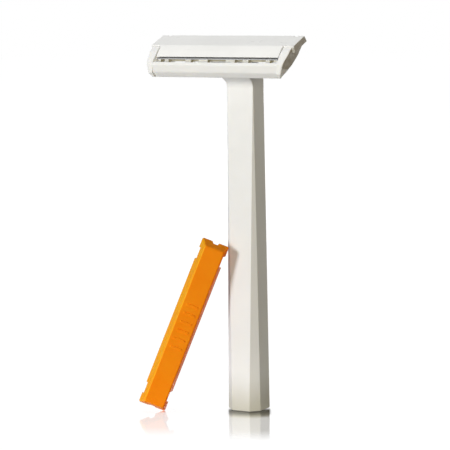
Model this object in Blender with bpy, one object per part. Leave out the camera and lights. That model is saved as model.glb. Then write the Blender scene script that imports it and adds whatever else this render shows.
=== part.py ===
"""Disposable razor, built the way it comes apart on a bench.

The handle, its bent neck and the guard head are one hollow plastic moulding. A steel blade
lies on the head's seat, and a cap with four pegs clamps it: the pegs pass through the blade
and the seat, and their ends are headed over underneath. The orange cover is off the head
and leans on the handle.

Frame: metres, X along the blade, -Y the shaving side, +Z up. The origin is on the rim of
the hollow foot, in the middle of its front side, at the level where the razor stands.
"""

import math

import bmesh
import bpy
from mathutils import Matrix, Vector

# Handle: an octagon at the foot that turns into a rectangle at the neck
FOOT_WIDTH = 0.0104
FOOT_DEPTH = 0.0105
FOOT_CHAMFER = 0.0024
FOOT_ROUNDING = 0.00035
NECK_WIDTH = 0.0084
NECK_DEPTH = 0.0066
NECK_CHAMFER = 0.00015
NECK_FORWARD = 0.0007
NECK_HEIGHT = 0.0914
HANDLE_EDGE_RADIUS = 0.00018
HANDLE_WALL = 0.0016
BORE_STOP = 0.006

# Neck: it bends forward from the handle to the underside of the head
NECK_FRONT_CREASE = 0.00275
NECK_FRONT_RADIUS = 0.0024
NECK_REAR_CREASE = 0.0052
NECK_REAR_RADIUS = 0.0056
NECK_TOP_WIDTH = 0.0110
NECK_FLARE = 0.00036
NECK_FLARE_RUN = 0.0022

# Head: placed by its ridge, the line where the cap's two slopes meet
RIDGE_FORWARD = 0.0147
RIDGE_RISE = 0.0138
FACE_ANGLE = math.radians(45.0)
HEAD_WIDTH = 0.0450
CHEEK_THICKNESS = 0.00295
CHEEK_STEP = 0.0002
CHEEK_CROWN = 0.00035
CHEEK_EDGE_RADIUS = 0.0003
CHEEK_INSET = 0.0004
CHEEK_DRAFT = 0.0007
CHEEK_TAPER = 0.00115
CHEEK_TAPER_START = 0.0034
REAR_RUN = 0.0065
REAR_DROP = 0.00283
BACK_RUN = 0.0070
BACK_DROP = 0.00535
HEEL_RUN = 0.0013

# Guard bar, measured forward of the blade's edge and below the face
GUARD_ADVANCE = 0.0037
GUARD_THICKNESS = 0.0011
GUARD_TOP_WIDTH = 0.0010
GUARD_SHOULDER = 0.0018
GUARD_HEIGHT = 0.0038
GUARD_SKIRT = 0.0004
GUARD_RADIUS = 0.0003

# Blade, its seat and the rinse slots
BLADE_WIDTH = 0.0047
BLADE_THICKNESS = 0.0001
BLADE_GRIND = 0.0006
BLADE_END_GAP = 0.0003
BLADE_TILT = math.radians(8.0)
BLADE_SETBACK = 0.0002
EDGE_DROP = 0.00045
SEAT_GAP = 0.00025
SEAT_SETBACK = 0.0003
SEAT_SHOULDER = 0.0003
PLATE_THICKNESS = 0.0013
LEDGE_DROP = 0.0011
LEDGE_MARGIN = 0.00012
SLOT_REACH = 0.0011
SLOT_DEPTH = 0.0019

# Blade cap: its rear half spans the whole head, on ears that lie in rebates of the cheeks
CAP_THICKNESS = 0.0009
CAP_END_GAP = 0.0003
EAR_LIP_DEPTH = 0.0020
EAR_LIP_LENGTH = 0.0017
EAR_CLEARANCE = 0.00036
EAR_NOTCH_SETBACK = 0.00245
EAR_NOTCH_WIDTH = 0.0011
EAR_NOTCH_DEPTH = 0.0006
CAP_LIP_DROP = 0.00005
CAP_EXPOSURE = 0.0007
CAP_CROWN = 0.00012
PEG_ROOT = 0.00015
CAP_RIDGE_RADIUS = 0.0004
CAP_EDGE_RADIUS = 0.00012
CAP_END_CHAMFER = 0.00008
PEG_RADIUS = 0.00075
PEG_CLEARANCE = 0.0003
PEG_HEAD_RADIUS = 0.0014
PEG_HEAD_THICKNESS = 0.0006
PEG_OFFSET = 0.00025

# Cover: a shallow tray with splayed walls, end clips and cut-outs beside them
COVER_OVERHANG = 0.0031
COVER_WIDTH = 0.00806
COVER_DEPTH = 0.0040
COVER_WALL = 0.0008
COVER_END_SPLAY = 0.00145
COVER_SIDE_SPLAY = 0.00105
COVER_CORNER_RADIUS = 0.0005
COVER_EDGE_RADIUS = 0.00035
CLIP_LENGTH = 0.0029
CUTOUT_LENGTH = 0.0034
END_NOTCH_WIDTH = 0.0024
END_NOTCH_DEPTH = 0.0013
NIB_HEIGHT = 0.0004
NIB_LENGTH = 0.0008
NIB_WIDTH = 0.0030
GRIP_BAR_COUNT = 6
GRIP_BAR_PITCH = 0.0026
GRIP_BAR_WIDTH = 0.0009
GRIP_BAR_LENGTH = 0.0036
GRIP_BAR_HEIGHT = 0.0002

# Where the cover leans: a corner of its mouth rests on the handle's front left chamfer
COVER_LEAN = math.radians(21.86)
LEAN_GAP = 0.0003
LEAN_DIRECTION = math.radians(28.6)
COVER_FACING = math.radians(-2.67)

# One overrun for every cut and every hidden overlap
OVERRUN = 0.0004

# Places along the head, as shares of the half width between the cheeks
CENTRE_SLOT_SHARE = 0.1458
SLOT_START_SHARE = (0.2916, 0.5090, 0.8465)
SLOT_END_SHARE = (0.4169, 0.7852, 0.9130)
PEG_SHARE = (0.4604, 0.7928)

UPPER_CUTOUT_SHARE = 0.68
LEAN_SHARE = 0.07
ARC_STEPS = 4
CAP_REAR_POINTS = 4
RING_SEGMENTS = 20
HANDLE_STATIONS = 6


def clear_scene():
    for obj in list(bpy.data.objects):
        bpy.data.objects.remove(obj, do_unlink=True)


def make_material(name, colour, roughness, metallic=0.0, transmission=0.0):
    material = bpy.data.materials.new(name)
    material.use_nodes = True
    shader = material.node_tree.nodes["Principled BSDF"]
    shader.inputs["Base Color"].default_value = (*colour, 1.0)
    shader.inputs["Roughness"].default_value = roughness
    shader.inputs["Metallic"].default_value = metallic
    shader.inputs["Transmission Weight"].default_value = transmission
    material.diffuse_color = (*colour, 1.0)
    return material


def solid_from_loops(name, loops, helper=False):
    """One closed solid through loops of points, each loop with the same count."""
    bm = bmesh.new()
    rings = [[bm.verts.new(point) for point in loop] for loop in loops]
    count = len(rings[0])
    for lower, upper in zip(rings, rings[1:]):
        for i in range(count):
            j = (i + 1) % count
            bm.faces.new((lower[i], lower[j], upper[j], upper[i]))
    bm.faces.new(rings[0])
    bm.faces.new(rings[-1])
    bmesh.ops.recalc_face_normals(bm, faces=bm.faces)
    mesh = bpy.data.meshes.new(name)
    bm.to_mesh(mesh)
    bm.free()
    obj = bpy.data.objects.new(name, mesh)
    bpy.context.scene.collection.objects.link(obj)
    if helper:
        obj.hide_render = True
        obj.display_type = "WIRE"
    return obj


def combine(target, other, operation):
    """Joins the helper to the target, or cuts it out."""
    modifier = target.modifiers.new(other.name, "BOOLEAN")
    modifier.operation = operation
    modifier.solver = "EXACT"
    modifier.object = other


def finish(obj, material, smooth_angle=math.radians(30.0)):
    obj.data.materials.append(material)
    obj.data.shade_smooth()
    obj.data.set_sharp_from_angle(angle=smooth_angle)


def rounded(corners, steps=ARC_STEPS):
    """A closed outline with each corner (a, b, radius) replaced by an arc."""
    points = []
    count = len(corners)
    for i, (a, b, radius) in enumerate(corners):
        corner = Vector((a, b))
        before = Vector(corners[i - 1][:2]) - corner
        after = Vector(corners[(i + 1) % count][:2]) - corner
        turn = before.angle(after)
        if radius <= 0.0 or turn > math.radians(178.0):
            points.append(corner)
            continue
        room = min(before.length, after.length) / 2
        reach = min(radius / math.tan(turn / 2), room)
        radius = reach * math.tan(turn / 2)
        middle = (before.normalized() + after.normalized()).normalized()
        centre = corner + middle * radius / math.sin(turn / 2)
        start = corner + before.normalized() * reach - centre
        end = corner + after.normalized() * reach - centre
        for k in range(steps + 1):
            arm = start.lerp(end, k / steps)
            points.append(centre + arm.normalized() * radius)
    return points


def inward(points):
    """At each point of a closed outline, the step inwards that moves its sides by one."""
    area = sum(a.x * b.y - b.x * a.y for a, b in zip(points, points[1:] + points[:1]))
    side = 1.0 if area > 0 else -1.0
    steps = []
    for i, point in enumerate(points):
        back = (point - points[i - 1]).normalized()
        ahead = (points[(i + 1) % len(points)] - point).normalized()
        normal = Vector((-back.y - ahead.y, back.x + ahead.x)).normalized() * side
        lean = max(normal.dot(Vector((-ahead.y, ahead.x)) * side), 0.5)
        steps.append(normal / lean)
    return steps


# The head's own plane. Forward runs down the face from the ridge, out stands off the face.


def head_point(forward, out):
    """World (y, z) of a place given forward of the ridge and out from the face."""
    along = Vector((-math.sin(FACE_ANGLE), -math.cos(FACE_ANGLE)))
    away = Vector((-math.cos(FACE_ANGLE), math.sin(FACE_ANGLE)))
    ridge = Vector((axis_setback() - RIDGE_FORWARD, NECK_HEIGHT + RIDGE_RISE))
    return ridge + along * forward + away * out


def edge_reach():
    """How far the blade's edge lies forward of the ridge."""
    return BLADE_WIDTH + BLADE_SETBACK


def guard_reach():
    """How far the guard's front lies forward of the ridge."""
    return edge_reach() + GUARD_ADVANCE


def peg_setback():
    """How far the pegs stand behind the blade's edge, a little behind its middle."""
    return BLADE_WIDTH / 2 + PEG_OFFSET


def blade_point(setback, height):
    """(forward, out) of a place behind the blade's edge and above its upper face."""
    forward = edge_reach() - setback * math.cos(BLADE_TILT) - height * math.sin(BLADE_TILT)
    out = -EDGE_DROP - setback * math.sin(BLADE_TILT) + height * math.cos(BLADE_TILT)
    return forward, out


def rear_point(run, depth):
    """(forward, out) of a place down the rear slope from the ridge, below that slope."""
    slope = math.atan2(REAR_DROP, REAR_RUN)
    forward = -run * math.cos(slope) + depth * math.sin(slope)
    out = -run * math.sin(slope) - depth * math.cos(slope)
    return forward, out


def rear_wall(depth):
    """The run down the rear slope at which the head's rear wall is, below that slope."""
    return math.hypot(REAR_RUN, REAR_DROP) + depth * REAR_DROP / REAR_RUN


def head_bar(name, outline, start, end, helper=False):
    """A bar along X with the given (forward, out) outline."""
    loops = []
    for x in (start, end):
        places = [head_point(*point) for point in outline]
        loops.append([(x, place.x, place.y) for place in places])
    return solid_from_loops(name, loops, helper)


def head_peg(name, x, setback, profile, helper=False):
    """A turned peg square to the blade at x, its profile given as (height, radius)."""
    loops = []
    for height, radius in profile:
        loop = []
        for k in range(RING_SEGMENTS):
            turn = math.tau * k / RING_SEGMENTS
            place = head_point(*blade_point(setback + radius * math.sin(turn), height))
            loop.append((x + radius * math.cos(turn), place.x, place.y))
        loops.append(loop)
    return solid_from_loops(name, loops, helper)


def inner_span():
    """Half the free width between the cheeks."""
    return HEAD_WIDTH / 2 - CHEEK_THICKNESS


def peg_places():
    """X of the four pegs, two on either side of the middle."""
    places = [inner_span() * share for share in PEG_SHARE]
    return [-x for x in reversed(places)] + places


def ear_lip_start():
    """X from which an ear of the cap is thick."""
    return HEAD_WIDTH / 2 - EAR_LIP_LENGTH


def cover_length():
    """The cover reaches past both ends of the head by its end wall, its splay and the fit."""
    return HEAD_WIDTH + 2 * COVER_OVERHANG


def seat_drop():
    """How far the seat lies under the blade's upper face."""
    return BLADE_THICKNESS + SEAT_GAP


# Handle


def axis_setback():
    """How far the handle's axis lies behind the origin, which is on the foot's front rim."""
    return FOOT_DEPTH / 2 - (FOOT_ROUNDING + HANDLE_WALL) / 2


def handle_section(height):
    """(width, depth, chamfer, centre y) of the handle at a height."""
    share = height / NECK_HEIGHT
    width = FOOT_WIDTH + (NECK_WIDTH - FOOT_WIDTH) * share
    depth = FOOT_DEPTH + (NECK_DEPTH - FOOT_DEPTH) * share
    chamfer = FOOT_CHAMFER + (NECK_CHAMFER - FOOT_CHAMFER) * share
    return width, depth, chamfer, axis_setback() - NECK_FORWARD * share


def octagon(width, depth, chamfer, radius):
    """Corners of a chamfered rectangle across X, its depth counted from the front."""
    side = width / 2
    corners = [
        (side - chamfer, 0.0),
        (side, chamfer),
        (side, depth - chamfer),
        (side - chamfer, depth),
        (chamfer - side, depth),
        (-side, depth - chamfer),
        (-side, chamfer),
        (chamfer - side, 0.0),
    ]
    return rounded([(x, y, radius) for x, y in corners], steps=2)


def level_loop(height, inset, radius=HANDLE_EDGE_RADIUS):
    """The handle's outline at a height, with every side and chamfer moved in by the inset."""
    width, depth, chamfer, centre = handle_section(height)
    chamfer = max(chamfer - inset * (2 - math.sqrt(2)), NECK_CHAMFER)
    outline = octagon(width - 2 * inset, depth - 2 * inset, chamfer, radius)
    return [(point.x, point.y - depth / 2 + inset + centre, height) for point in outline]


def bent_path(start, corner, end, radius):
    """Points from the start round a filleted corner to the end, in the (y, z) plane."""
    arc = rounded([(*start, 0.0), (*corner, radius), (*end, 0.0)], steps=ARC_STEPS + 2)
    return [Vector(start)] + arc[1:-1] + [Vector(corner).lerp(Vector(end), 0.5), Vector(end)]


def neck_spread(run, full_run):
    """How much wider the neck is than the handle after a run along its front."""
    flare = min(max(run - NECK_FRONT_CREASE, 0.0) / NECK_FLARE_RUN, 1.0)
    widening = NECK_TOP_WIDTH - NECK_WIDTH - 2 * NECK_FLARE
    return 2 * NECK_FLARE * flare * flare + widening * (run / full_run) ** 2


def neck_loops():
    """Loops of the bent neck, from the handle's top into the head's plate."""
    width, depth, chamfer, centre = handle_section(NECK_HEIGHT)
    front, rear = centre - depth / 2, centre + depth / 2
    under = seat_drop() + PLATE_THICKNESS / 2
    front_end = head_point(*blade_point(BLADE_WIDTH / 2, -under))
    slope_depth = CAP_THICKNESS + CAP_END_GAP + PLATE_THICKNESS / 2
    rear_end = head_point(*rear_point(math.hypot(REAR_RUN, REAR_DROP) - OVERRUN, slope_depth))
    fronts = bent_path(
        (front, NECK_HEIGHT), (front, NECK_HEIGHT + NECK_FRONT_CREASE), front_end, NECK_FRONT_RADIUS
    )
    rears = bent_path(
        (rear, NECK_HEIGHT), (rear, NECK_HEIGHT + NECK_REAR_CREASE), rear_end, NECK_REAR_RADIUS
    )
    runs = [0.0]
    for before, after in zip(fronts, fronts[1:]):
        runs.append(runs[-1] + (after - before).length)
    loops = []
    for point, back, run in list(zip(fronts, rears, runs))[1:]:
        across = back - point
        width = NECK_WIDTH + neck_spread(run, runs[-1])
        outline = octagon(width, across.length, chamfer, HANDLE_EDGE_RADIUS)
        places = [(corner.x, point + across.normalized() * corner.y) for corner in outline]
        loops.append([(x, place.x, place.y) for x, place in places])
    return loops


def make_handle_bar():
    loops = []
    for k in range(ARC_STEPS):
        turn = math.radians(90.0) * k / ARC_STEPS
        inset = FOOT_ROUNDING * (1 - math.sin(turn))
        loops.append(level_loop(FOOT_ROUNDING * (1 - math.cos(turn)), inset))
    for k in range(HANDLE_STATIONS + 1):
        share = k / HANDLE_STATIONS
        loops.append(level_loop(FOOT_ROUNDING + (NECK_HEIGHT - FOOT_ROUNDING) * share, 0.0))
    return solid_from_loops("handle", loops + neck_loops())


def make_bore():
    """The core of the hollow handle, open at the foot."""
    heights = (-OVERRUN, NECK_HEIGHT / 2, NECK_HEIGHT - BORE_STOP)
    loops = [level_loop(height, HANDLE_WALL, 0.0) for height in heights]
    return solid_from_loops("handle_bore", loops, helper=True)


def cheek_top():
    """(forward, out) points along a cheek's top edge, from the rear to the guard's front."""
    heel_share = HEEL_RUN / REAR_RUN
    shoulder = guard_reach() - GUARD_SHOULDER
    corners = [
        (-REAR_RUN, -REAR_DROP, 0.0),
        (-HEEL_RUN, -REAR_DROP * heel_share, 0.0),
        (0.0, 0.0, 0.0),
        (CHEEK_STEP, -CHEEK_STEP, 0.0),
        (edge_reach() / 2, CHEEK_CROWN - CHEEK_STEP, edge_reach()),
        (shoulder, 0.0, GUARD_SHOULDER),
        (guard_reach(), -GUARD_SHOULDER, 0.0),
    ]
    return rounded(corners)


def cheek_bottom(forward):
    """The level of a cheek's underside at a forward place."""
    bottom = -GUARD_HEIGHT
    guard_inner = guard_reach() - GUARD_THICKNESS
    if forward <= -HEEL_RUN:
        return -BACK_DROP
    if forward >= guard_inner:
        return bottom
    share = (forward + HEEL_RUN) / (guard_inner + HEEL_RUN)
    return -BACK_DROP + (bottom + BACK_DROP) * share


def cheek_half_width(forward):
    """Half the head's width at a forward place: it draws in towards the guard."""
    run = max(forward - CHEEK_TAPER_START, 0.0) / (guard_reach() - CHEEK_TAPER_START)
    return HEAD_WIDTH / 2 - CHEEK_INSET - CHEEK_TAPER * (run + run * run) / 2


def cheek_loop(side, top, bottom, half, inset):
    """One section of a cheek, in the plane through its top and bottom points."""
    height = (top - bottom).length - 2 * inset
    along = (top - bottom).normalized()
    inner, outer = inner_span(), half - inset
    foot = outer - CHEEK_DRAFT
    radius = CHEEK_EDGE_RADIUS
    corners = [(inner, 0.0, 0.0), (foot, 0.0, radius), (outer, height, radius), (inner, height, 0.0)]
    loop = []
    for x, rise in rounded(corners, steps=2):
        place = bottom + along * (inset + rise)
        loop.append((side * x, *head_point(*place)))
    return loop


def make_cheek(name, side):
    """One end plate of the head, lofted from its rear to the guard's front."""
    tops = cheek_top()
    span = guard_reach() + REAR_RUN
    loops = []
    for top in tops:
        share = (top.x + REAR_RUN) / span
        forward = -BACK_RUN + (guard_reach() + BACK_RUN) * share
        bottom = Vector((forward, cheek_bottom(forward)))
        loops.append(cheek_loop(side, top, bottom, cheek_half_width(top.x), 0.0))
    step = Vector((CHEEK_EDGE_RADIUS / 2, 0.0))
    rear_bottom = Vector((-BACK_RUN, -BACK_DROP))
    front_bottom = Vector((guard_reach(), -GUARD_HEIGHT))
    inset = CHEEK_EDGE_RADIUS / 2
    rear_half, front_half = cheek_half_width(-REAR_RUN), cheek_half_width(guard_reach())
    loops.insert(0, cheek_loop(side, tops[0] - step, rear_bottom - step, rear_half, inset))
    loops.append(cheek_loop(side, tops[-1] + step, front_bottom + step, front_half, inset))
    return solid_from_loops(name, loops, helper=True)


def make_rebate(name, side):
    """The rebate in a cheek's top, from the ridge to the rear, where an ear of the cap lies."""
    rear = math.hypot(REAR_RUN, REAR_DROP) + CHEEK_THICKNESS
    lip = ear_lip_start() - EAR_CLEARANCE
    shallow = CAP_THICKNESS + EAR_CLEARANCE
    deep = EAR_LIP_DEPTH + EAR_CLEARANCE
    stations = [
        (inner_span() - CAP_END_GAP / 2, shallow),
        (lip - CHEEK_STEP, shallow),
        (lip, deep),
        (HEAD_WIDTH / 2 + OVERRUN, deep),
    ]
    loops = []
    for x, depth in stations:
        outline = [
            rear_point(-CAP_END_GAP, -OVERRUN),
            rear_point(rear, -OVERRUN),
            rear_point(rear, depth),
            rear_point(-CAP_END_GAP, depth),
        ]
        loops.append([(side * x, *head_point(*point)) for point in outline])
    return solid_from_loops(name, loops, helper=True)


def slot_edges():
    """Forward limits of the rinse slots, from under the blade's edge to the guard bar."""
    front = edge_reach() + SLOT_REACH
    return front - SLOT_DEPTH, front


def make_plate():
    """Seat, ledge and guard bar in one section, a step inside the cheeks' outline."""
    seat = seat_drop()
    slope_top = CAP_THICKNESS + CAP_END_GAP
    front = guard_reach() - CHEEK_STEP
    inner = front - GUARD_THICKNESS
    bottom = -GUARD_HEIGHT - GUARD_SKIRT
    ledge_front = slot_edges()[1] + LEDGE_MARGIN
    corners = [
        (*rear_point(rear_wall(slope_top) - CHEEK_STEP, slope_top), 0.0),
        (*rear_point(SEAT_GAP, slope_top), 0.0),
        (*blade_point(BLADE_WIDTH + SEAT_SHOULDER, -seat), 0.0),
        (*blade_point(SEAT_SETBACK, -seat), GUARD_RADIUS / 2),
        (edge_reach(), -LEDGE_DROP, 0.0),
        (ledge_front, -LEDGE_DROP, 0.0),
        (ledge_front, -CHEEK_STEP, GUARD_RADIUS / 2),
        (ledge_front + GUARD_TOP_WIDTH, -CHEEK_STEP, GUARD_TOP_WIDTH / 2),
        (front, -GUARD_SHOULDER - CHEEK_STEP, GUARD_TOP_WIDTH),
        (front, bottom, GUARD_RADIUS),
        (inner, bottom, GUARD_RADIUS),
        (inner, -LEDGE_DROP - PLATE_THICKNESS, GUARD_RADIUS),
        (*blade_point(0.0, -seat - PLATE_THICKNESS), GUARD_RADIUS),
        (*blade_point(BLADE_WIDTH, -seat - PLATE_THICKNESS), GUARD_RADIUS),
        (CHEEK_STEP - BACK_RUN + PLATE_THICKNESS, CHEEK_STEP - BACK_DROP, 0.0),
        (CHEEK_STEP - BACK_RUN, CHEEK_STEP - BACK_DROP, GUARD_RADIUS),
    ]
    reach = inner_span() + OVERRUN
    return head_bar("seat_plate", rounded(corners, steps=3), -reach, reach, helper=True)


def slot_spans():
    """X limits of the rinse slots: one in the middle, and the same ones on either side."""
    half = inner_span()
    spans = [(-half * CENTRE_SLOT_SHARE, half * CENTRE_SLOT_SHARE)]
    for start, end in zip(SLOT_START_SHARE, SLOT_END_SHARE):
        spans.append((half * start, half * end))
        spans.append((-half * end, -half * start))
    return spans


def make_slots():
    rear, front = slot_edges()
    drop = LEDGE_DROP + PLATE_THICKNESS + OVERRUN * 2
    outline = [
        (rear, -LEDGE_DROP + OVERRUN),
        (front, -LEDGE_DROP + OVERRUN),
        (front, -drop),
        (rear, -drop),
    ]
    return [
        head_bar(f"rinse_slot_{i + 1}", outline, start, end, helper=True)
        for i, (start, end) in enumerate(slot_spans())
    ]


def make_handle(material):
    handle = make_handle_bar()
    combine(handle, make_plate(), "UNION")
    for name, side in (("cheek_left", -1.0), ("cheek_right", 1.0)):
        combine(handle, make_cheek(name, side), "UNION")
        combine(handle, make_rebate(f"{name}_rebate", side), "DIFFERENCE")
    combine(handle, make_bore(), "DIFFERENCE")
    for slot in make_slots():
        combine(handle, slot, "DIFFERENCE")
    radius = PEG_RADIUS + PEG_CLEARANCE
    bottom = -seat_drop() - PLATE_THICKNESS - PEG_HEAD_THICKNESS
    for i, x in enumerate(peg_places()):
        profile = [(0.0, radius), (bottom, radius)]
        hole = head_peg(f"seat_hole_{i + 1}", x, peg_setback(), profile, helper=True)
        combine(handle, hole, "DIFFERENCE")
    finish(handle, material)
    return handle


# Blade


def make_blade(material):
    half = inner_span() - CAP_END_GAP - BLADE_END_GAP
    outline = [
        blade_point(0.0, -BLADE_THICKNESS / 2),
        blade_point(BLADE_GRIND, 0.0),
        blade_point(BLADE_WIDTH, 0.0),
        blade_point(BLADE_WIDTH, -BLADE_THICKNESS),
        blade_point(BLADE_GRIND, -BLADE_THICKNESS),
    ]
    blade = head_bar("blade", outline, -half, half)
    radius = PEG_RADIUS + PEG_CLEARANCE
    for i, x in enumerate(peg_places()):
        profile = [(OVERRUN / 2, radius), (-BLADE_THICKNESS - OVERRUN / 2, radius)]
        hole = head_peg(f"blade_hole_{i + 1}", x, peg_setback(), profile, helper=True)
        combine(blade, hole, "DIFFERENCE")
    finish(blade, material)
    return blade


# Blade cap


def cap_corners():
    lip = edge_reach() - CAP_EXPOSURE
    lip_bottom = blade_point(CAP_EXPOSURE, SEAT_GAP)
    return [
        (*rear_point(rear_wall(0.0), 0.0), CAP_EDGE_RADIUS),
        (0.0, 0.0, CAP_RIDGE_RADIUS),
        (lip / 2, CAP_CROWN, lip),
        (lip, -CAP_LIP_DROP, CAP_EDGE_RADIUS),
        (*lip_bottom, CAP_EDGE_RADIUS),
        (*blade_point(BLADE_WIDTH, SEAT_GAP), 0.0),
        (*rear_point(CAP_THICKNESS, CAP_THICKNESS), 0.0),
        (*rear_point(rear_wall(CAP_THICKNESS), CAP_THICKNESS), CAP_EDGE_RADIUS),
    ]


def ear_outline(outline, depth):
    """The cap's section cut off square at the ridge, with its underside at the given depth."""
    front = outline[CAP_REAR_POINTS + 1 : -CAP_REAR_POINTS - 1]
    face = []
    for k in range(len(front)):
        share = k / (len(front) - 1)
        face.append(Vector(rear_point(0.0, CAP_END_CHAMFER + (depth - CAP_END_CHAMFER) * share)))
    thin_edge = Vector(rear_point(rear_wall(CAP_THICKNESS), CAP_THICKNESS))
    drop = Vector(rear_point(rear_wall(depth), depth)) - thin_edge
    under = [point + drop for point in outline[-CAP_REAR_POINTS - 1 :]]
    return outline[: CAP_REAR_POINTS + 1] + face + under


def cap_stations():
    """(x, section) along one half of the cap, from the middle part to the end of an ear."""
    outline = rounded(cap_corners(), steps=CAP_REAR_POINTS - 1)
    thin = ear_outline(outline, CAP_THICKNESS)
    thick = ear_outline(outline, EAR_LIP_DEPTH)
    end = [point + step * CAP_END_CHAMFER for point, step in zip(thick, inward(thick))]
    half = inner_span() - CAP_END_GAP
    tip = HEAD_WIDTH / 2
    return [
        (half - CAP_END_CHAMFER, outline),
        (half, thin),
        (ear_lip_start(), thin),
        (ear_lip_start() + CAP_END_CHAMFER, thick),
        (tip - CAP_END_CHAMFER, thick),
        (tip, end),
    ]


def make_cap(material):
    stations = cap_stations()
    places = [(-x, section) for x, section in reversed(stations)] + stations
    loops = [[(x, *head_point(*point)) for point in section] for x, section in places]
    cap = solid_from_loops("blade_cap", loops)
    low = EAR_LIP_DEPTH + OVERRUN
    notch = [
        rear_point(rear_wall(-OVERRUN) - EAR_NOTCH_DEPTH, -OVERRUN),
        rear_point(rear_wall(-OVERRUN) + OVERRUN, -OVERRUN),
        rear_point(rear_wall(low) + OVERRUN, low),
        rear_point(rear_wall(low) - EAR_NOTCH_DEPTH, low),
    ]
    notch_place = HEAD_WIDTH / 2 - EAR_NOTCH_SETBACK
    for mark, side in (("left", -1.0), ("right", 1.0)):
        near = side * (notch_place - EAR_NOTCH_WIDTH / 2)
        far = side * (notch_place + EAR_NOTCH_WIDTH / 2)
        combine(cap, head_bar(f"cap_notch_{mark}", notch, near, far, helper=True), "DIFFERENCE")
    under_seat = -seat_drop() - PLATE_THICKNESS - PEG_CLEARANCE
    profile = [
        (SEAT_GAP + PEG_ROOT, PEG_RADIUS),
        (under_seat, PEG_RADIUS),
        (under_seat, PEG_HEAD_RADIUS),
        (under_seat - PEG_HEAD_THICKNESS / 2, PEG_HEAD_RADIUS),
        (under_seat - PEG_HEAD_THICKNESS, PEG_RADIUS),
    ]
    for i, x in enumerate(peg_places()):
        combine(cap, head_peg(f"cap_peg_{i + 1}", x, peg_setback(), profile, helper=True), "UNION")
    finish(cap, material)
    return cap


# Cover, modelled flat: u along its length, v across, w from the face to the open mouth


def cover_loop(depth, inset, radius):
    """A rounded rectangle of the cover at a depth, moved inwards by an inset."""
    share = depth / COVER_DEPTH
    u = cover_length() / 2 - COVER_END_SPLAY * (1 - share) - inset
    v = COVER_WIDTH / 2 - COVER_SIDE_SPLAY * (1 - share) - inset
    corners = [(u, v, radius), (-u, v, radius), (-u, -v, radius), (u, -v, radius)]
    return [(point.x, point.y, depth) for point in rounded(corners, steps=3)]


def cover_box(name, low, high):
    """A straight block between two corners, used as a cutter or a bar."""
    loops = []
    for depth in (low[2], high[2]):
        u0, v0, u1, v1 = low[0], low[1], high[0], high[1]
        loops.append([(u0, v0, depth), (u1, v0, depth), (u1, v1, depth), (u0, v1, depth)])
    return solid_from_loops(name, loops, helper=True)


def make_cover_shell():
    loops = []
    for k in range(ARC_STEPS + 1):
        turn = math.radians(90.0) * k / ARC_STEPS
        depth = COVER_EDGE_RADIUS * (1 - math.cos(turn))
        inset = COVER_EDGE_RADIUS * (1 - math.sin(turn))
        loops.append(cover_loop(depth, inset, COVER_CORNER_RADIUS))
    loops.append(cover_loop(COVER_DEPTH, 0.0, COVER_CORNER_RADIUS))
    shell = solid_from_loops("cover", loops)
    radius = COVER_CORNER_RADIUS / 2
    inner = [
        cover_loop(depth, COVER_WALL, radius)
        for depth in (COVER_WALL, COVER_DEPTH + OVERRUN)
    ]
    combine(shell, solid_from_loops("cover_inside", inner, helper=True), "DIFFERENCE")
    return shell


def cut_cover_walls(shell):
    """Cut-outs in the side walls beside each end clip, and a notch in each end wall."""
    outside = COVER_WIDTH / 2 + OVERRUN
    inside = COVER_WIDTH / 2 - COVER_SIDE_SPLAY - COVER_WALL
    mouth = COVER_DEPTH + OVERRUN * 2
    upper = COVER_DEPTH * UPPER_CUTOUT_SHARE
    clip = cover_length() / 2 - CLIP_LENGTH
    for end in (-1.0, 1.0):
        near, far = sorted((end * clip, end * (clip - CUTOUT_LENGTH)))
        mark = "lower" if end < 0 else "upper"
        lower_cut = cover_box(f"cut_{mark}_right", (near, inside, COVER_WALL), (far, outside, mouth))
        upper_cut = cover_box(f"cut_{mark}_left", (near, -outside, upper), (far, -inside, mouth))
        combine(shell, lower_cut, "DIFFERENCE")
        combine(shell, upper_cut, "DIFFERENCE")
        combine(shell, end_notch(f"end_notch_{mark}", end), "DIFFERENCE")


def end_notch(name, end):
    """A notch with sloping sides in the rim of one end wall."""
    inner = cover_length() / 2 - COVER_END_SPLAY - COVER_WALL * 2
    outer = cover_length() / 2 + OVERRUN
    half = END_NOTCH_WIDTH / 2
    loops = []
    for depth, spread in ((COVER_DEPTH - END_NOTCH_DEPTH, half / 2), (COVER_DEPTH + OVERRUN, half)):
        corners = ((inner, -spread), (outer, -spread), (outer, spread), (inner, spread))
        loops.append([(end * u, v, depth) for u, v in corners])
    return solid_from_loops(name, loops, helper=True)


def end_nib(name, end):
    """A wedge on the inside of one end wall that grips the end of the head."""
    wall_depth = COVER_DEPTH - END_NOTCH_DEPTH
    loops = []
    for v in (-NIB_WIDTH / 2, NIB_WIDTH / 2):
        profile = []
        for depth, rise in (
            (wall_depth - NIB_LENGTH, 0.0),
            (wall_depth - NIB_LENGTH / 2, NIB_HEIGHT),
            (wall_depth, 0.0),
        ):
            share = depth / COVER_DEPTH
            face = cover_length() / 2 - COVER_END_SPLAY * (1 - share) - COVER_WALL
            profile.append((end * (face - rise), v, depth))
        for depth in (wall_depth, wall_depth - NIB_LENGTH):
            share = depth / COVER_DEPTH
            face = cover_length() / 2 - COVER_END_SPLAY * (1 - share) - COVER_WALL / 2
            profile.append((end * face, v, depth))
        loops.append(profile)
    return solid_from_loops(name, loops, helper=True)


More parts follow.
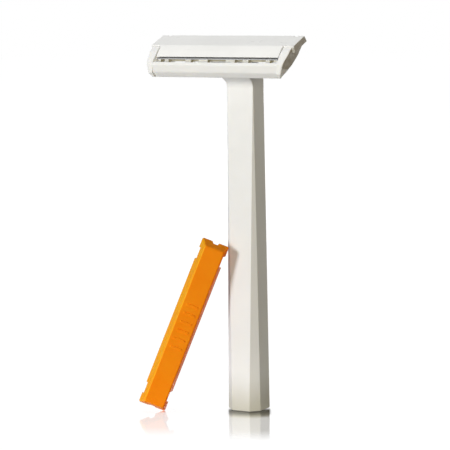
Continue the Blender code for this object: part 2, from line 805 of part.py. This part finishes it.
def make_grip_bars(shell):
    """Low plain bars across the face, for the thumb."""
    middle = (GRIP_BAR_COUNT - 1) / 2
    for k in range(GRIP_BAR_COUNT):
        u = (k - middle) * GRIP_BAR_PITCH
        loops = []
        for depth, inset in ((-GRIP_BAR_HEIGHT, GRIP_BAR_HEIGHT), (COVER_WALL / 2, 0.0)):
            a = GRIP_BAR_WIDTH / 2 - inset
            b = GRIP_BAR_LENGTH / 2 - inset
            loops.append([(u - a, -b, depth), (u + a, -b, depth), (u + a, b, depth), (u - a, b, depth)])
        combine(shell, solid_from_loops(f"grip_bar_{k + 1}", loops, helper=True), "UNION")


def cover_placement():
    """World matrix of the cover, leaning on the handle's chamfer with a corner on the floor."""
    lean_height = cover_length() * math.cos(COVER_LEAN)
    width, depth, chamfer, centre = handle_section(lean_height)
    side = chamfer * (1 - LEAN_SHARE) - width / 2
    front = centre - depth / 2 + chamfer * LEAN_SHARE
    gap = LEAN_GAP / math.sqrt(2)
    level = Vector((math.cos(LEAN_DIRECTION), math.sin(LEAN_DIRECTION), 0.0))
    axis = level * math.sin(COVER_LEAN) + Vector((0.0, 0.0, math.cos(COVER_LEAN)))
    facing = level.cross(axis).normalized()
    facing = Matrix.Rotation(-COVER_FACING, 3, axis) @ facing
    across = axis.cross(facing)
    turn = Matrix((axis, across, -facing)).transposed()
    loop = cover_loop(COVER_DEPTH, 0.0, COVER_CORNER_RADIUS)
    mouth = [turn @ Vector(point) for point in loop]
    corner = max(mouth, key=lambda point: point.x + point.y)
    lowest = min(point.z for point in mouth)
    shift = Vector((side - gap - corner.x, front - gap - corner.y, -lowest))
    return Matrix.Translation(shift) @ turn.to_4x4()


def make_cover(material):
    shell = make_cover_shell()
    cut_cover_walls(shell)
    for name, end in (("nib_lower", -1.0), ("nib_upper", 1.0)):
        combine(shell, end_nib(name, end), "UNION")
    make_grip_bars(shell)
    finish(shell, material)
    placement = cover_placement()
    for modifier in shell.modifiers:
        modifier.object.matrix_world = placement
    shell.matrix_world = placement
    return shell


def main():
    clear_scene()
    white = make_material("white_plastic", (0.80, 0.80, 0.78), 0.38)
    steel = make_material("blade_steel", (0.62, 0.63, 0.65), 0.22, metallic=1.0)
    orange = make_material("orange_plastic", (0.95, 0.28, 0.02), 0.30, transmission=0.25)
    make_handle(white)
    make_blade(steel)
    make_cap(white)
    make_cover(orange)


main()
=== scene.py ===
"""Looks of the disposable razor and its cover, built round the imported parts, in metres."""
import math

import bmesh
import bpy
from mathutils import Matrix, Vector

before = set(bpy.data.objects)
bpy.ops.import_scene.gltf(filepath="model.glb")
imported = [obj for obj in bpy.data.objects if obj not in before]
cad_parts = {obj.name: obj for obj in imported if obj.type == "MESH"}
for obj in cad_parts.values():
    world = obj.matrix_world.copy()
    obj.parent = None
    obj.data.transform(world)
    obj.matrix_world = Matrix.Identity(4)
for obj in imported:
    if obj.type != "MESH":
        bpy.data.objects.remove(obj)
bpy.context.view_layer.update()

# The handle's axis lies a little behind the origin
AXIS_SETBACK = 0.004275

# Camera, its place measured from the handle's axis at the foot
CAMERA_YAW = math.radians(28.744)
CAMERA_PITCH = math.radians(6.886)
CAMERA_ROLL = math.radians(-0.581)
CAMERA_DISTANCE = 0.56203
CAMERA_HEIGHT = 0.12123
CAMERA_SIDE = -0.006378
CAMERA_LENS = 157.8
CAMERA_SENSOR = 36.0
CAMERA_SHIFT = 0.5 / 450
CAMERA_NEAR = 0.01
CAMERA_FAR = 20.0

# The middle of a noise, over which colours and roughness change
NOISE_LOW = 0.3
NOISE_HIGH = 0.7

# Colours of the pieces, at the low and the high end of their noise
WHITE_TINTS = ((NOISE_LOW, (0.805, 0.805, 0.800)), (NOISE_HIGH, (0.845, 0.845, 0.842)))
CAP_TINTS = ((NOISE_LOW, (0.82, 0.82, 0.815)), (NOISE_HIGH, (0.86, 0.86, 0.858)))
STEEL_TINTS = ((NOISE_LOW, (0.38, 0.385, 0.39)), (NOISE_HIGH, (0.50, 0.50, 0.505)))

# Noise scales along each axis: waves down the handle, rubs along the cap, streaks along the blade
HANDLE_WAVES = (260.0, 260.0, 60.0)
CAP_RUBS = (300.0, 900.0, 900.0)
BLADE_STREAKS = (150.0, 26000.0, 26000.0)

# Gloss of the plastics, and how light spreads inside them
PLASTIC_IOR = 1.49
WHITE_SHEEN = {
    "IOR": PLASTIC_IOR,
    "Specular IOR Level": 0.12,
    "Subsurface Weight": 0.10,
    "Subsurface Radius": (1.0, 0.85, 0.6),
    "Subsurface Scale": 0.0012,
}
CAP_SHEEN = {"IOR": PLASTIC_IOR, "Specular IOR Level": 0.25}
ORANGE_SHEEN = {
    "IOR": PLASTIC_IOR,
    "Specular IOR Level": 0.01,
    "Subsurface Weight": 0.12,
    "Subsurface Radius": (1.0, 0.30, 0.03),
    "Subsurface Scale": 0.0010,
}

# Painted shade low on the handle, darker and yellower towards the foot: how high it reaches and how
# ragged its upper end is
FOOT_SHADE_TINT = (0.66, 0.64, 0.555)
FOOT_SHADE_HEIGHT = 0.0135
FOOT_SHADE_RAGGED = 0.002

# Painted shade on the head's end faces, which begin this far out on the cheeks and on the cap's ears
END_SHADE_TINT = (0.49, 0.43, 0.34)
CHEEK_REACH = 0.0212
EAR_REACH = 0.0222

# The sideways facing at which a face begins to count as an end face, and counts in full
END_FACING = (0.85, 0.95)

# Blotches in the painted shade on the end faces: the span of their noise, and the share of the painted
# shade at each end of it
END_SHADE_BLOTCH = (0.35, 0.65, 0.75, 1.0)

# Painted shade in the rinse slots: a line along them, the reach of their walls, and the guard's
# outward side
SLOT_SHADE_TINT = (0.52, 0.48, 0.34)
SLOT_LINE = (0.0, -0.0130, 0.1007)
SLOT_ROUND = 0.0012
SLOT_HALF_SPAN = 0.0192
GUARD_OUT = (0.0, -0.594, 0.805)

# The outward facing up to which a face counts as a slot's wall, and at which it no longer does
WALL_FACING = (0.5, 0.7)

# How softly the patches of painted shade on the head begin and end
PATCH_EDGE = 0.0001

# The cover's left side, away from the handle, and its orange from the right wall to the left: painted
# shade darkens the right wall, painted light makes the left wall yellower, and a painted highlight
# line runs along the corner between the plate and the left wall
COVER_LEFT = (-0.814, -0.445, 0.372)
COVER_TINTS_AND_PAINTED_LIGHT = (
    (0.10, (1.00, 0.200, 0.004)),
    (0.42, (1.00, 0.290, 0.008)),
    (0.58, (1.00, 0.315, 0.010)),
    (0.70, (1.00, 0.520, 0.040)),
    (0.82, (1.00, 0.430, 0.012)),
)
COVER_CLOUD_TINT = (0.97, 0.86, 0.70)

# The floor, just below the foot, and the polished strip before the foot on the camera's side
FLOOR_RADIUS = 3.0
FLOOR_CORNERS = 96
FLOOR_DROP = 0.00002
FLOOR_TINT = (0.18, 0.18, 0.178)
POLISH_ROUGHNESS = 0.06
POLISH_MIDDLE = AXIS_SETBACK * math.sin(CAMERA_YAW)
POLISH_HALF = 0.0058
POLISH_EDGE = 0.0006
POLISH_FADE = 0.005

# Shares of light on the floor, of the painted contact shadow in the reflection, and of polish, at
# distances from the foot's middle
FOOT_MIDDLE = (0.0, AXIS_SETBACK, 0.0)
FLOOR_GLOW = ((0.0, 0.93), (0.15, 0.93), (0.60, 1.0))
FOOT_PAINTED_SHADOW = ((0.0, 0.38), (0.0076, 0.38), (0.0096, 0.62), (0.0110, 0.85), (0.0125, 1.0))
FOOT_POLISH = (
    (0.0, 1.0), (0.0110, 1.0), (0.0125, 0.90), (0.0137, 0.66), (0.0150, 0.58), (0.030, 0.60),
    (0.034, 0.42), (0.043, 0.0),
)

# Shares of polish at distances from the cover's corner on the floor
COVER_CORNER = (-0.0205, -0.0096, 0.0)
COVER_POLISH = (
    (0.0, 0.95), (0.001, 0.85), (0.0022, 0.50), (0.0035, 0.31), (0.022, 0.26), (0.034, 0.0),
)

# Square lamps at one distance from the middle of the razor
LAMP_TARGET = Vector((0.0, 0.0, 0.055))
LAMP_DISTANCE = 1.0
LAMPS = (
    # name, degrees to the right of the front, degrees up, side, watts, colour
    ("key_softbox", -31.0, 3.0, 0.20, 6.5, (0.97, 0.985, 1.0)),
    ("front_softbox", 27.0, 4.0, 0.30, 1.8, (1.0, 0.985, 0.95)),
    ("right_softbox", 42.0, 5.0, 0.30, 2.8, (1.0, 0.89, 0.62)),
    ("back_softbox", 189.0, 5.0, 0.35, 4.5, (1.0, 0.985, 0.96)),
    ("top_softbox", 0.0, 88.0, 0.45, 5.1, (0.99, 1.0, 1.0)),
)


def new_material(name):
    material = bpy.data.materials.new(name)
    material.use_nodes = True
    tree = material.node_tree
    return material, tree, tree.nodes["Principled BSDF"]


def add_node(tree, kind, **values):
    """A node whose sockets and settings are given by name."""
    node = tree.nodes.new(kind)
    for key, value in values.items():
        if key in node.inputs:
            node.inputs[key].default_value = value
        else:
            setattr(node, key, value)
    return node


def place_on_piece(tree):
    return tree.nodes.new("ShaderNodeTexCoord").outputs["Object"]


def axes_of(tree, vector):
    """The three numbers of a vector, by the letter of their axis."""
    node = tree.nodes.new("ShaderNodeSeparateXYZ")
    tree.links.new(vector, node.inputs["Vector"])
    return node.outputs


def stretched(tree, where, scale):
    node = add_node(tree, "ShaderNodeMapping", Scale=scale)
    tree.links.new(where, node.inputs["Vector"])
    return node.outputs["Vector"]


def noise(tree, where, scale=1.0, detail=3.0, roughness=0.55):
    node = add_node(tree, "ShaderNodeTexNoise", Scale=scale, Detail=detail, Roughness=roughness)
    tree.links.new(where, node.inputs["Vector"])
    return node.outputs["Fac"]


def ramp(tree, share, stops):
    """A colour that follows the share, through stops of a share and a colour each."""
    node = tree.nodes.new("ShaderNodeValToRGB")
    elements = node.color_ramp.elements
    while len(elements) > 1:
        elements.remove(elements[-1])
    elements[0].position = stops[0][0]
    elements[0].color = (*stops[0][1], 1.0)
    for position, colour in stops[1:]:
        element = elements.new(position)
        element.color = (*colour, 1.0)
    tree.links.new(share, node.inputs["Fac"])
    return node.outputs["Color"]


def span(tree, value, low, high, to_low, to_high, smooth=False):
    """Maps a value from one span to another, held at both ends."""
    node = tree.nodes.new("ShaderNodeMapRange")
    node.interpolation_type = "SMOOTHSTEP" if smooth else "LINEAR"
    for key, number in (
        ("From Min", low), ("From Max", high), ("To Min", to_low), ("To Max", to_high)
    ):
        node.inputs[key].default_value = number
    tree.links.new(value, node.inputs["Value"])
    return node.outputs["Result"]


def maths(tree, operation, *values):
    node = add_node(tree, "ShaderNodeMath", operation=operation)
    for socket, value in zip(node.inputs, values):
        if isinstance(value, (int, float)):
            socket.default_value = value
        else:
            tree.links.new(value, socket)
    return node.outputs["Value"]


def product(tree, *shares):
    result = shares[0]
    for share in shares[1:]:
        result = maths(tree, "MULTIPLY", result, share)
    return result


def vector_maths(tree, operation, vector, fixed):
    """The number that an operation makes of a vector and a fixed vector."""
    node = add_node(tree, "ShaderNodeVectorMath", operation=operation)
    tree.links.new(vector, node.inputs[0])
    node.inputs[1].default_value = fixed
    return node.outputs["Value"]


def facing(tree, direction):
    """How far the surface faces a direction that turns with the piece, from -1 to 1."""
    normal = tree.nodes.new("ShaderNodeTexCoord").outputs["Normal"]
    return vector_maths(tree, "DOT_PRODUCT", normal, direction)


def tinted(tree, colour, tint, share):
    """The colour multiplied by the tint, as far as the share says."""
    node = add_node(tree, "ShaderNodeMix", data_type="RGBA", blend_type="MULTIPLY")
    node.inputs["B"].default_value = (*tint, 1.0)
    tree.links.new(share, node.inputs["Factor"])
    tree.links.new(colour, node.inputs["A"])
    return node.outputs["Result"]


def bump(tree, height, distance, strength, normal=None):
    node = add_node(tree, "ShaderNodeBump", Distance=distance, Strength=strength)
    tree.links.new(height, node.inputs["Height"])
    if normal is not None:
        tree.links.new(normal, node.inputs["Normal"])
    return node.outputs["Normal"]


def finish_shader(tree, shader, tint, normal, rub, smoothest, roughest):
    """Links the colour, the bumps and a roughness that follows the rub marks."""
    roughness = span(tree, rub, NOISE_LOW, NOISE_HIGH, smoothest, roughest)
    tree.links.new(tint, shader.inputs["Base Color"])
    tree.links.new(roughness, shader.inputs["Roughness"])
    tree.links.new(normal, shader.inputs["Normal"])


def set_sheen(shader, sheen):
    for key, value in sheen.items():
        shader.inputs[key].default_value = value


def painted_end_shade(tree, where, colour, reach):
    """The head's two end faces, darkened in blotches with painted shade."""
    across = maths(tree, "ABSOLUTE", axes_of(tree, where)["X"])
    out = span(tree, across, reach - PATCH_EDGE, reach, 0.0, 1.0)
    sideways = maths(tree, "ABSOLUTE", facing(tree, (1.0, 0.0, 0.0)))
    square = span(tree, sideways, *END_FACING, 0.0, 1.0)
    blotch = span(tree, noise(tree, where, scale=900.0), *END_SHADE_BLOTCH)
    return tinted(tree, colour, END_SHADE_TINT, product(tree, out, square, blotch))


def painted_slot_shade(tree, where, colour):
    """The walls inside the rinse slots, darkened with painted shade."""
    across = maths(tree, "ABSOLUTE", axes_of(tree, where)["X"])
    between = span(tree, across, SLOT_HALF_SPAN, SLOT_HALF_SPAN + PATCH_EDGE, 1.0, 0.0)
    flattened = stretched(tree, where, (0.0, 1.0, 1.0))
    away = vector_maths(tree, "DISTANCE", flattened, SLOT_LINE)
    near = span(tree, away, SLOT_ROUND - 2.0 * PATCH_EDGE, SLOT_ROUND, 1.0, 0.0)
    inward = span(tree, facing(tree, GUARD_OUT), *WALL_FACING, 1.0, 0.0)
    return tinted(tree, colour, SLOT_SHADE_TINT, product(tree, between, near, inward))


def painted_foot_shade(tree, where, cloud, colour):
    """Painted shade that grows darker and yellower towards the foot, with a ragged upper end."""
    raised = maths(tree, "MULTIPLY", cloud, FOOT_SHADE_RAGGED)
    ragged = maths(tree, "ADD", axes_of(tree, where)["Z"], raised)
    return tinted(tree, colour, FOOT_SHADE_TINT, span(tree, ragged, 0.0, FOOT_SHADE_HEIGHT, 1.0, 0.0, smooth=True))


def white_plastic():
    material, tree, shader = new_material("white_moulding")
    where = place_on_piece(tree)
    cloud = noise(tree, where, scale=70.0)
    # Painted shade, darker and yellower towards the foot
    tint = painted_foot_shade(tree, where, cloud, ramp(tree, cloud, WHITE_TINTS))
    # Painted shade on the head's end faces
    tint = painted_end_shade(tree, where, tint, CHEEK_REACH)
    # Painted shade on the walls inside the rinse slots
    tint = painted_slot_shade(tree, where, tint)
    rub = noise(tree, where, scale=420.0, detail=5.0, roughness=0.6)
    grain = bump(tree, noise(tree, where, scale=5200.0), distance=0.00001, strength=0.35)
    wave = noise(tree, stretched(tree, where, HANDLE_WAVES), detail=2.0)
    normal = bump(tree, wave, distance=0.00004, strength=0.35, normal=grain)
    finish_shader(tree, shader, tint, normal, rub, smoothest=0.34, roughest=0.50)
    set_sheen(shader, WHITE_SHEEN)
    return material


def cap_plastic():
    material, tree, shader = new_material("cap_moulding")
    where = place_on_piece(tree)
    tint = ramp(tree, noise(tree, where, scale=110.0), CAP_TINTS)
    # Painted shade on the cap's end faces
    tint = painted_end_shade(tree, where, tint, EAR_REACH)
    rub = noise(tree, stretched(tree, where, CAP_RUBS), detail=5.0, roughness=0.6)
    grain = noise(tree, where, scale=6000.0, detail=2.0)
    normal = bump(tree, grain, distance=0.000008, strength=0.3)
    finish_shader(tree, shader, tint, normal, rub, smoothest=0.26, roughest=0.40)
    set_sheen(shader, CAP_SHEEN)
    return material


def blade_steel():
    material, tree, shader = new_material("strip_steel")
    where = place_on_piece(tree)
    streak = noise(tree, stretched(tree, where, BLADE_STREAKS), detail=4.0)
    tint = ramp(tree, streak, STEEL_TINTS)
    normal = bump(tree, streak, distance=0.000004, strength=0.4)
    finish_shader(tree, shader, tint, normal, streak, smoothest=0.18, roughest=0.34)
    shader.inputs["Metallic"].default_value = 1.0
    return material


def orange_plastic():
    material, tree, shader = new_material("orange_moulding")
    where = place_on_piece(tree)
    # Painted light and shade: the orange follows how far each face turns to the lit left side, with a
    # painted highlight line at the corner
    side = span(tree, facing(tree, COVER_LEFT), -1.0, 1.0, 0.0, 1.0)
    cloud = span(tree, noise(tree, where, scale=120.0), NOISE_LOW, NOISE_HIGH, 1.0, 0.0)
    tint = tinted(tree, ramp(tree, side, COVER_TINTS_AND_PAINTED_LIGHT), COVER_CLOUD_TINT, cloud)
    rub = noise(tree, where, scale=700.0, detail=5.0, roughness=0.6)
    normal = bump(tree, noise(tree, where, scale=900.0), distance=0.00003, strength=0.4)
    finish_shader(tree, shader, tint, normal, rub, smoothest=0.24, roughest=0.40)
    set_sheen(shader, ORANGE_SHEEN)
    return material


def seen_directly(tree):
    """One for rays that carry the background: from the camera, a gloss or a clear part."""
    path = tree.nodes.new("ShaderNodeLightPath")
    seen = maths(tree, "MAXIMUM", path.outputs["Is Camera Ray"], path.outputs["Is Glossy Ray"])
    return maths(tree, "MAXIMUM", seen, path.outputs["Is Transmission Ray"])


def radial(tree, where, centre, stops):
    """A share given by the distance from a place on the floor."""
    distance = vector_maths(tree, "DISTANCE", where, centre)
    far = stops[-1][0]
    greys = [(stop / far, (share, share, share)) for stop, share in stops]
    return ramp(tree, maths(tree, "DIVIDE", distance, far), greys)


def strip_before_foot(tree, where):
    """One on a strip of the floor from the foot towards the camera, and nothing beside it."""
    turned = add_node(tree, "ShaderNodeMapping", Rotation=(0.0, 0.0, -CAMERA_YAW))
    tree.links.new(where, turned.inputs["Vector"])
    axes = axes_of(tree, turned.outputs["Vector"])
    across = maths(tree, "ABSOLUTE", maths(tree, "SUBTRACT", axes["X"], POLISH_MIDDLE))
    between = span(tree, across, POLISH_HALF, POLISH_HALF + POLISH_EDGE, 1.0, 0.0)
    nearer = span(tree, axes["Y"], 0.0, POLISH_FADE, 1.0, 0.0, smooth=True)
    return product(tree, between, nearer)


def floor_material():
    """White where it is seen directly, and polished before the foot and at the cover's corner, with a
    painted contact shadow darkening the reflection just before the foot.
    """
    material = bpy.data.materials.new("white_floor")
    material.use_nodes = True
    tree = material.node_tree
    tree.nodes.clear()
    where = place_on_piece(tree)
    before = strip_before_foot(tree, where)

    diffuse = add_node(tree, "ShaderNodeBsdfDiffuse", Color=(*FLOOR_TINT, 1.0))
    glow = add_node(tree, "ShaderNodeEmission", Color=(1.0, 1.0, 1.0, 1.0))
    level = radial(tree, where, FOOT_MIDDLE, FLOOR_GLOW)
    tree.links.new(product(tree, seen_directly(tree), level), glow.inputs["Strength"])
    pale = tree.nodes.new("ShaderNodeAddShader")
    tree.links.new(diffuse.outputs["BSDF"], pale.inputs[0])
    tree.links.new(glow.outputs["Emission"], pale.inputs[1])

    mirror = add_node(tree, "ShaderNodeBsdfGlossy", Roughness=POLISH_ROUGHNESS)
    # Painted contact shadow: the reflection's colour darkened near the foot
    painted_shadow = radial(tree, where, FOOT_MIDDLE, FOOT_PAINTED_SHADOW)
    beside = maths(tree, "SUBTRACT", 1.0, before)
    tree.links.new(maths(tree, "MAXIMUM", painted_shadow, beside), mirror.inputs["Color"])

    foot = product(tree, radial(tree, where, FOOT_MIDDLE, FOOT_POLISH), before)
    corner = radial(tree, where, COVER_CORNER, COVER_POLISH)
    mix = tree.nodes.new("ShaderNodeMixShader")
    tree.links.new(maths(tree, "MAXIMUM", foot, corner), mix.inputs["Fac"])
    tree.links.new(pale.outputs["Shader"], mix.inputs[1])
    tree.links.new(mirror.outputs["BSDF"], mix.inputs[2])
    out = tree.nodes.new("ShaderNodeOutputMaterial")
    tree.links.new(mix.outputs["Shader"], out.inputs["Surface"])
    return material


def make_floor():
    bm = bmesh.new()
    bmesh.ops.create_circle(
        bm, cap_ends=True, cap_tris=True, segments=FLOOR_CORNERS, radius=FLOOR_RADIUS
    )
    mesh = bpy.data.meshes.new("floor")
    bm.to_mesh(mesh)
    bm.free()
    mesh.materials.append(floor_material())
    floor = bpy.data.objects.new("floor", mesh)
    bpy.context.scene.collection.objects.link(floor)
    floor.location.z = -FLOOR_DROP


def make_world():
    """White where it is seen directly, and no light from it on the razor."""
    world = bpy.data.worlds.new("studio")
    bpy.context.scene.world = world
    world.use_nodes = True
    tree = world.node_tree
    backdrop = tree.nodes["Background"]
    backdrop.inputs["Color"].default_value = (1.0, 1.0, 1.0, 1.0)
    tree.links.new(seen_directly(tree), backdrop.inputs["Strength"])


def make_lamp(name, turn, rise, side, watts, colour):
    """A soft lamp aimed at the razor, placed by its direction seen from there."""
    turn, rise = math.radians(turn), math.radians(rise)
    level = math.cos(rise)
    away = Vector((math.sin(turn) * level, -math.cos(turn) * level, math.sin(rise)))
    data = bpy.data.lights.new(name, "AREA")
    data.shape = "SQUARE"
    data.size = side
    data.energy = watts
    data.color = colour
    lamp = bpy.data.objects.new(name, data)
    lamp.location = LAMP_TARGET + away * LAMP_DISTANCE
    lamp.rotation_euler = (-away).to_track_quat("-Z", "Y").to_euler()
    lamp.visible_camera = False
    bpy.context.scene.collection.objects.link(lamp)


def make_camera():
    """The photograph's view, from a little above the head and to the right of the front."""
    level_right = Vector((math.cos(CAMERA_YAW), math.sin(CAMERA_YAW), 0.0))
    level_ahead = Vector((-math.sin(CAMERA_YAW), math.cos(CAMERA_YAW), 0.0))
    top = Vector((0.0, 0.0, 1.0))
    where = level_right * CAMERA_SIDE - level_ahead * CAMERA_DISTANCE + top * CAMERA_HEIGHT
    where.y += AXIS_SETBACK
    ahead = level_ahead * math.cos(CAMERA_PITCH) - top * math.sin(CAMERA_PITCH)
    up = level_right.cross(ahead)
    right = level_right * math.cos(CAMERA_ROLL) + up * math.sin(CAMERA_ROLL)
    up = up * math.cos(CAMERA_ROLL) - level_right * math.sin(CAMERA_ROLL)
    turn = Matrix((right, up, -ahead)).transposed().to_4x4()
    data = bpy.data.cameras.new("camera")
    data.sensor_width = CAMERA_SENSOR
    data.lens = CAMERA_LENS
    data.shift_x = -CAMERA_SHIFT
    data.shift_y = CAMERA_SHIFT
    data.clip_start = CAMERA_NEAR
    data.clip_end = CAMERA_FAR
    camera = bpy.data.objects.new("camera", data)
    camera.matrix_world = Matrix.Translation(where) @ turn
    bpy.context.scene.collection.objects.link(camera)
    bpy.context.scene.camera = camera


def dress(node, material):
    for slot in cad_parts[node].material_slots:
        slot.material = material


dress("handle", white_plastic())
dress("blade", blade_steel())
dress("blade_cap", cap_plastic())
dress("cover", orange_plastic())
make_floor()
make_world()
for lamp in LAMPS:
    make_lamp(*lamp)
make_camera()
bpy.context.scene.view_settings.view_transform = "Standard"
